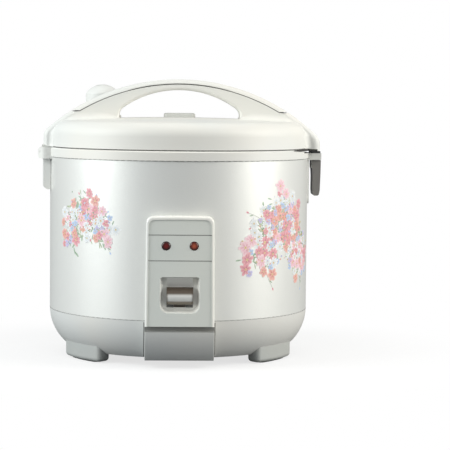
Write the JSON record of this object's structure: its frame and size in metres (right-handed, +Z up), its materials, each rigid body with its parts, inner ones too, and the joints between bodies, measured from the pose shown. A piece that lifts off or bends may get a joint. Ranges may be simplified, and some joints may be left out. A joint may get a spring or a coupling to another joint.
{
  "type": "rice cooker",
  "caption": "Round electric rice cooker with an arched carry handle on a side-hinged lid, side latch, front cook lever with lamps, steam cap and inner pot.",
  "frame": {"origin": "on the table plane, at the middle of the cooker's outline, under the axis of its round body", "axes": "+Z up, -Y towards the control panel, +X towards the latch and away from the lid hinge"},
  "size_m": [0.2952, 0.286, 0.2867],
  "materials": {
    "white_plastic": "moulded cream white, satin gloss",
    "clear_white": "milky plastic",
    "pearl_paint": "pearl silver paint with a printed spray of blossoms",
    "grey_face": "light grey, fine matt",
    "dark_grip": "dark grey, fine matt",
    "lever_silver": "metallised champagne silver",
    "lamp_red": "clear dark red",
    "lamp_amber": "clear amber red",
    "aluminium": "spun aluminium",
    "plain_steel": "plated steel",
    "brass_contact": "nickel plated brass",
    "seal_rubber": "grey silicone",
    "pad_rubber": "dark rubber",
    "electrics": "phenolic and resin",
    "bulb_glass": "clear glass",
    "wire_cover": "white sleeve"
  },
  "bodies": {
    "body": {"base_bowl": "white_plastic", "base_screws": "plain_steel", "bottom_plate": "plain_steel", "foot_front_left": "white_plastic", "foot_front_right": "white_plastic", "foot_pads": "pad_rubber", "foot_rear_left": "white_plastic", "foot_rear_right": "white_plastic", "heater_plate": "aluminium", "heater_screws": "plain_steel", "heater_supports": "plain_steel", "heater_terminals": "brass_contact", "hinge_pin": "plain_steel", "inlet_housing": "white_plastic", "inlet_pins": "brass_contact", "inner_casing": "aluminium", "inner_pot": "aluminium", "lamp_board": "electrics", "lamp_bulbs": "bulb_glass", "lamp_lens_cook": "lamp_red", "lamp_lens_warm": "lamp_amber", "latch_pin": "plain_steel", "latch_plate": "white_plastic", "latch_spring": "plain_steel", "lever_pin": "plain_steel", "lever_spring": "plain_steel", "microswitch": "electrics", "outer_shell": "pearl_paint", "panel_apron": "white_plastic", "panel_face": "grey_face", "panel_frame": "white_plastic", "rim_seal": "pad_rubber", "sensor_plate": "plain_steel", "sensor_spring": "plain_steel", "supply_wires": "wire_cover", "switch_bracket": "plain_steel", "thermal_fuse": "electrics", "upper_rim": "white_plastic", "warm_band": "aluminium"},
    "lid": {"lid_shell": "white_plastic", "handle_arch": "white_plastic", "handle_cap": "white_plastic", "centre_tab": "white_plastic", "lid_catch": "plain_steel", "lid_lining": "white_plastic", "lid_screws": "plain_steel", "lid_heater": "aluminium", "vent_tube": "seal_rubber", "inner_lid": "aluminium", "lid_gasket": "seal_rubber", "lid_stud": "plain_steel", "inner_lid_knob": "seal_rubber"},
    "latch": {"latch_lever": "dark_grip"},
    "cook_lever": {"cook_lever": "lever_silver", "switch_arm": "plain_steel"},
    "magnet": {"magnet_plunger": "plain_steel"},
    "sensor": {"sensor_cap": "aluminium"},
    "steam_cap": {"steam_cap": "white_plastic"},
    "dew_collector": {"dew_collector": "clear_white"}
  },
  "joints": [
    {"name": "lid_hinge", "type": "hinge", "parent": "body", "child": "lid", "pos_m": [-0.1421, 0, 0.2108], "axis": [0, -1, 0], "range_deg": [0, 95]},
    {"name": "latch_press", "type": "hinge", "parent": "body", "child": "latch", "pos_m": [0.1425, 0, 0.1995], "axis": [0, 1, 0], "range_deg": [0, 6], "stiffness_Nm_per_rad": 0.4, "springref_deg": -8.59},
    {"name": "cook_press", "type": "hinge", "parent": "body", "child": "cook_lever", "pos_m": [0, -0.062, 0.042], "axis": [1, 0, 0], "range_deg": [0, 4], "stiffness_Nm_per_rad": 1.5, "springref_deg": -2.86},
    {"name": "magnet_lift", "type": "slide", "parent": "body", "child": "magnet", "axis": [0, 0, 1], "range_m": [0, 0.0044]},
    {"name": "sensor_press", "type": "slide", "parent": "body", "child": "sensor", "axis": [0, 0, 1], "range_m": [-0.002, 0], "stiffness_N_per_m": 500, "springref_m": 0.003, "deforming": ["sensor_spring"]},
    {"name": "steam_cap_lift", "type": "slide", "parent": "lid", "child": "steam_cap", "axis": [0, 0, 1], "range_m": [0, 0.05]},
    {"name": "collector_pull", "type": "slide", "parent": "body", "child": "dew_collector", "axis": [-1, 0, 0], "range_m": [0, 0.04]}
  ],
  "couplings": [
    {"joint": "magnet_lift", "follows": "cook_press", "m_per_rad": 0.062}
  ]
}
